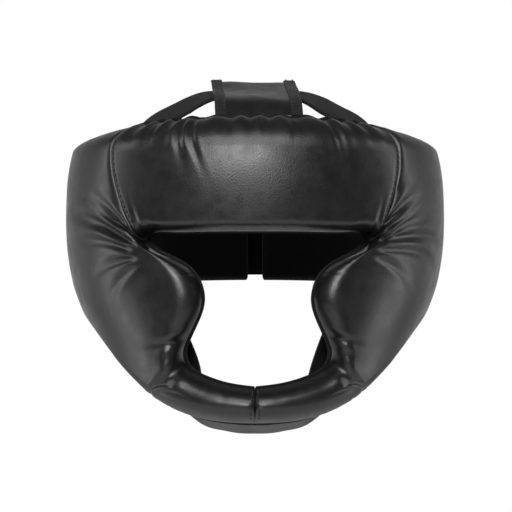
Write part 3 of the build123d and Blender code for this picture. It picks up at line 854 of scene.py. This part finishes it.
# rear closure, in mm: each sheet's span along X, how far it stands past the strap's edges, its
# lifts off the padding, and the radius of its corners
closure = {
    "z": (-13, 41), "stitchIn": 3.5, "onTop": 0.05,
    "anchorRows": {"Near": 74, "Far": 84}, "hemRows": {"Tip": -71.6, "Hem": -68},
    "sheets": {
        "rear_strap": ((-74, 70), 0, (2.9, 5.9), leather, "rear_strap_body", "leather", 6),
        "rear_strap_hem": ((-73.4, -66), -3, (6.0, 6.8), tape, "rear_strap_body", "binding", 0),
        "rear_strap_hook": ((-70, -24), -2, (1.6, 2.8), hookTape, "rear_strap_body",
                            "hook_tape", 0),
        "rear_loop_panel": ((-82, -18), 2, (0.1, 1.3), loopTape, "rear_wing_right",
                            "loop_tape", 0),
        "rear_strap_anchor": ((70.8, 86.8), 1, (0.1, 6.5), leather, "rear_wing_left",
                              "leather", 4),
    },
}


def rearClosure():
    # five sheets on one another over the wings, and lines of stitches on their outer faces
    look = closure
    low, high = look["z"]
    for node, (span, past, lifts, material, body, slot, tip) in look["sheets"].items():
        words = node.split("_")
        name = words[0] + "".join(word.title() for word in words[1:])
        # the rear strap's inward faces get the lining material as painted shade
        rearSheet(name, span, (low - past, high + past), lifts, material, body, [node],
                  tip=tip, paintedShadeBacking=lining if node == "rear_strap" else None)
    (tip, root), _, (_, strapTop), *_ = look["sheets"]["rear_strap"]
    anchorTop, hemTop = (look["sheets"]["rear_strap_" + key][2][1] for key in ("anchor", "hem"))
    inset = look["stitchIn"]
    for row, z in (("Low", low + inset), ("High", high - inset)):
        x = np.linspace(tip + inset, root - 2, 200)
        line = rearPoint(x, z + 0 * x, strapTop + look["onTop"])
        stitches("rearStrapStitches" + row, line, line * [1, 1, 0], "rear_strap_body")
    z = np.linspace(low + inset, high - inset, 60)
    for part, top, body in (("Anchor", anchorTop, "rear_wing_left"),
                            ("Hem", hemTop, "rear_strap_body")):
        for row, x in look[part.lower() + "Rows"].items():
            line = rearPoint(x + 0 * z, z, top + look["onTop"])
            stitches("rear" + part + "Stitches" + row, line, line * [1, 1, 0], body)


# chin strap: half of its route from the middle out, then its anchors up the jaw's inner wall
chinShape = {
    "half": [(0, -73, -105.0, 0, 20), (9, -73, -104.8, 1, 20), (18, -72.5, -103.6, 4, 18),
             (27, -70.5, -101.6, 9, 16), (34.5, -67.5, -96.4, 16, 8), (40, -62, -88.0, 28, 0)],
    "width": 24, "wall": 2.6, "anchorWall": 2, "wallClear": 4.2, "topClear": 1.6,
    "closedFrom": 27, "patchWall": 1.2, "hookLift": 2.0, "loopLift": 3.5, "anchorLift": 5.2,
    "top": (-57, -50), "low": (-59, -72), "onWall": (0.56, 0.83, 0), "tail": (-1, -12, -26),
    "padHalf": 20, "padWall": 6.8, "padLift": 5, "padWidth": 23,
}


def innerWallX(y, z):
    # X of the padding's inner face at Y and Z
    half, front, _ = formAt(np.array([float(z)]))
    reach = front[0] - form["frontPad"]
    return float((half[0] - form["sidePad"]) * np.sqrt(1 - (y / reach) ** 2))


def slung(station):
    # a point of the route with its width direction: front to back, turned about Z, and tilted
    # so that its front edge is higher
    x, y, z, turn, tilt = station
    turn, tilt = np.radians(turn), np.radians(tilt)
    level = np.cos(tilt)
    width = np.array([np.sin(turn) * level, np.cos(turn) * level, -np.sin(tilt)])
    return np.array([x, y, z]), width


def chinStrap():
    # a band slung under the chin bar; patches and left anchor are offset inward from it
    look = chinShape
    left = [slung(station) for station in look["half"]]
    flip = np.array([-1, 1, 1])
    spots = [spot * flip for spot, _ in left[:0:-1]] + [spot for spot, _ in left]
    widths = [width * flip for _, width in left[:0:-1]] + [width for _, width in left]
    both = curveThrough(np.concatenate([np.array(spots), np.array(widths) * 100], 1), 150)
    path, across = both[:, :3], both[:, 3:]
    bandPiece("chinStrap", path, across, look["width"], look["wall"], smoothLeather,
              "chin_strap_body", "leather", ["chin_strap"], count=56)
    normal = unit(np.cross(unit(across), unit(np.gradient(path, axis=0))))
    end = path[:, 0] > look["closedFrom"]
    for name, lift, material in (("Hook", look["hookLift"], hookTape),
                                 ("Loop", look["loopLift"], loopTape)):
        body, slot = ("chin_strap_body", "hook_tape") if name == "Hook" else ("shell", "loop_tape")
        bandPiece("chin" + name + "Patch", path[end] - normal[end] * lift, across[end],
                  look["width"] - 2, look["patchWall"], material, body, slot,
                  ["chin_" + name.lower() + "_patch"], count=32)
    # each anchor lies on the jaw's lining; the left one runs on under the strap
    top, low = (np.array([innerWallX(*look[key]) - look[gap], *look[key]])
                for key, gap in (("top", "topClear"), ("low", "wallClear")))
    onWall = unit(np.array(look["onWall"]))
    for name, sign in (("left", 1), ("right", -1)):
        tail = [(path[-1], across[-1])]
        if sign > 0:
            picks = np.where(end)[0][list(look["tail"])]
            tail = [(path[k] - normal[k] * look["anchorLift"], across[k]) for k in picks]
        knots = [(top, onWall), (low, onWall)] + tail
        line = curveThrough([np.concatenate([spot, 100 * unit(way)]) for spot, way in knots], 70)
        bandPiece("chinAnchor" + name.title(), line[:, :3] * [sign, 1, 1],
                  line[:, 3:] * [sign, 1, 1], look["width"], look["anchorWall"], tape, "shell",
                  "webbing", ["chin_anchor_" + name], count=32)
    pad = curveThrough([spot for spot in spots if abs(spot[0]) < look["padHalf"]], 60)
    pad[:, 2] += look["padLift"]
    width = np.repeat([[0, 1.0, 0]], len(pad), 0)
    piece = bandPiece("chinPad", pad, width, look["padWidth"], look["padWall"], lining,
                      "chin_strap_body", "lining", ["chin_pad"], count=48)


def earSleeve(name, sign):
    # oval tube through the side pad with a rolled edge at each end: rings of one closed profile
    # of (outward from the oval, depth in X) carried round the oval
    turn = np.linspace(0, 2 * np.pi, 120, endpoint=False)
    y = ear["y"] + ear["wide"] / 2 * np.cos(turn)
    z = ear["z"] + ear["tall"] / 2 * np.sin(turn)
    half, front, back = formAt(z)
    reach = np.where(y > 0, back, front)
    outer = half * np.sqrt(1 - (y / reach) ** 2) - ear["sink"] + ear["proud"]
    reachIn = reach - np.where(y > 0, form["backPad"], form["frontPad"])
    inner = (half - form["sidePad"]) * np.sqrt(1 - (y / reachIn) ** 2) - ear["tuck"]
    roll = ear["roll"]
    bend = np.radians(np.linspace(-90, 180, 15))
    mouth = np.stack([roll * np.sin(bend) - roll * 0.1, roll * np.cos(bend)], 1)[::-1]
    straight = np.linspace(0, 1, 14)[1:-1]
    offset = np.concatenate([mouth[:, 0], ear["bore"] + 0 * straight, mouth[::-1, 0],
                             ear["bore"] - ear["wall"] + 0 * straight])
    depth = np.concatenate([0 * mouth[:, 0], straight, 0 * mouth[:, 0] + 1, 1 - straight])
    push = np.concatenate([mouth[:, 1], 0 * straight, -mouth[::-1, 1], 0 * straight])
    x = outer[None] * (1 - depth[:, None]) + inner[None] * depth[:, None] + push[:, None]
    outY, outZ = np.cos(turn) * ear["tall"], np.sin(turn) * ear["wide"]
    size = np.hypot(outY, outZ)
    grid = np.stack([x * sign, y + outY / size * offset[:, None],
                     z + outZ / size * offset[:, None]], -1)
    mesh = gridMesh(name, grid, closeRows=True, closeColumns=True)
    piece = makePiece(name, mesh, tape, "shell")
    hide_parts(name.replace("EarSleeve", "_ear_sleeve"))


def seamLine(grid, panel, u, span):
    # a line over the outside of a finished pad at u, from edge to edge, with its normals
    low, high = panel["span"]
    column = 3 + int(round((u - low) / (high - low) * (panel["columns"] - 1)))
    first = panel["roundRows"] // 2
    count = panel["faceRows"] + 2 * (panel["roundRows"] - first)
    rows = slice(first + int(span[0] * count), first + int(span[1] * count))
    spots, out = grid[rows, column], shellNormals(grid)[rows, column]
    away = np.sign((out * spots * [1, 1, 0]).sum(-1).mean())
    return spots, out * away


# where each seam's stitches run (u, and from and to across the face), and their size in mm
seamThread = {
    "forehead": (0.966, (0.08, 0.93)), "chin": (4.972, (0.04, 0.96)), "every": 3.4, "long": 2.5,
    "foreheadThick": 1,
}


def seamStitches():
    # along both forehead seams and down the middle of the chin bar
    look = seamThread
    brow, browSpan = look["forehead"]
    chin, chinSpan = look["chin"]
    for name, sign in (("left", 1), ("right", -1)):
        spots, out = seamLine(padGrids["forehead"], foreheadPanel, sign * brow, browSpan)
        stitches(name + "ForeheadStitches", spots, out, "shell", every=look["every"],
                 long=look["long"], thick=look["foreheadThick"])
        spots, out = seamLine(padGrids[name], sidePanel, chin, chinSpan)
        stitches(name + "ChinStitches", spots, out, "shell", every=look["every"],
                 long=look["long"])


crownWebbing()
allBindings()
crownFlap()
rearClosure()
chinStrap()
for name, sign in (("left", 1), ("right", -1)):
    earSleeve(name + "EarSleeve", sign)
seamStitches()
print("straps, bindings and stitches made")

tapes = {"crown_hook_patch": hookTape, "crown_loop_patch": loopTape}
for name, material in tapes.items():
    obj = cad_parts[name]
    obj.data.materials.clear()
    obj.data.materials.append(material)

stage = {"floorZ": -0.6, "floorSize": 4.0, "cameraY": -1.59, "cameraX": 0.0006, "lens": 173.9,
         "sensor": 36}
# each light: place, size in metres, power
lights = {
    "topFront": ((-0.1, -1.0, 1.15), (1.5, 0.7), 16),
    "frontKey": ((-0.3, -1.9, 0.76), (1.35, 0.6), 36),
    "leftEdge": ((1.1, 0.1, 0.1), (0.3, 1.6), 5),
    "rightEdge": ((-1.1, 0.1, 0.1), (0.3, 1.6), 5),
}

bpy.ops.mesh.primitive_plane_add(size=stage["floorSize"], location=(0, 0, stage["floorZ"]))
floor = bpy.context.object
floor.name = "floor"
paper, *_ = newMaterial("whitePaper", "#f4f4f4", 0.8)
floor.data.materials.append(paper)

# the backdrop stays white while the light that reaches the leather is dim and grey
world = bpy.data.worlds.new("studio")
bpy.context.scene.world = world
world.use_nodes = True
sky = world.node_tree
seen = addNode(sky, "ShaderNodeBackground", values={"Color": (1, 1, 1, 1), "Strength": 1.0})
lit = sky.nodes["Background"]
lit.inputs["Color"].default_value = (1, 1, 1, 1)
place = addNode(sky, "ShaderNodeTexCoord").outputs["Generated"]
behind = addNode(sky, "ShaderNodeVectorMath", {0: place}, {1: (0, 0.8, -0.6)},
                 operation="DOT_PRODUCT")
level = addNode(sky, "ShaderNodeMapRange", {"Value": behind.outputs["Value"]},
                {"From Min": 0.1, "From Max": 0.85, "To Min": 0.1, "To Max": 0.8})
sky.links.new(level.outputs["Result"], lit.inputs["Strength"])
rays = addNode(sky, "ShaderNodeLightPath")
blend = addNode(sky, "ShaderNodeMixShader",
                {0: rays.outputs["Is Camera Ray"], 1: lit.outputs[0], 2: seen.outputs[0]})
sky.links.new(blend.outputs[0], sky.nodes["World Output"].inputs["Surface"])
bpy.context.scene.view_settings.view_transform = "Standard"


def addLight(name, place, size, power):
    # rectangular light aimed at the origin
    data = bpy.data.lights.new(name, "AREA")
    data.shape = "RECTANGLE"
    data.size, data.size_y = size
    data.energy = power
    light = bpy.data.objects.new(name, data)
    light.location = place
    aim = -Vector(place)
    light.rotation_euler = aim.to_track_quat("-Z", "Y").to_euler()
    bpy.context.scene.collection.objects.link(light)


for name, (place, size, power) in lights.items():
    addLight(name, place, size, power)

cameraData = bpy.data.cameras.new("camera")
cameraData.lens = stage["lens"]
cameraData.sensor_width = stage["sensor"]
camera = bpy.data.objects.new("camera", cameraData)
camera.location = (stage["cameraX"], stage["cameraY"], 0)
camera.rotation_euler = (np.pi / 2, 0, 0)
bpy.context.scene.collection.objects.link(camera)
bpy.context.scene.camera = camera
print("stage, lights and camera made")
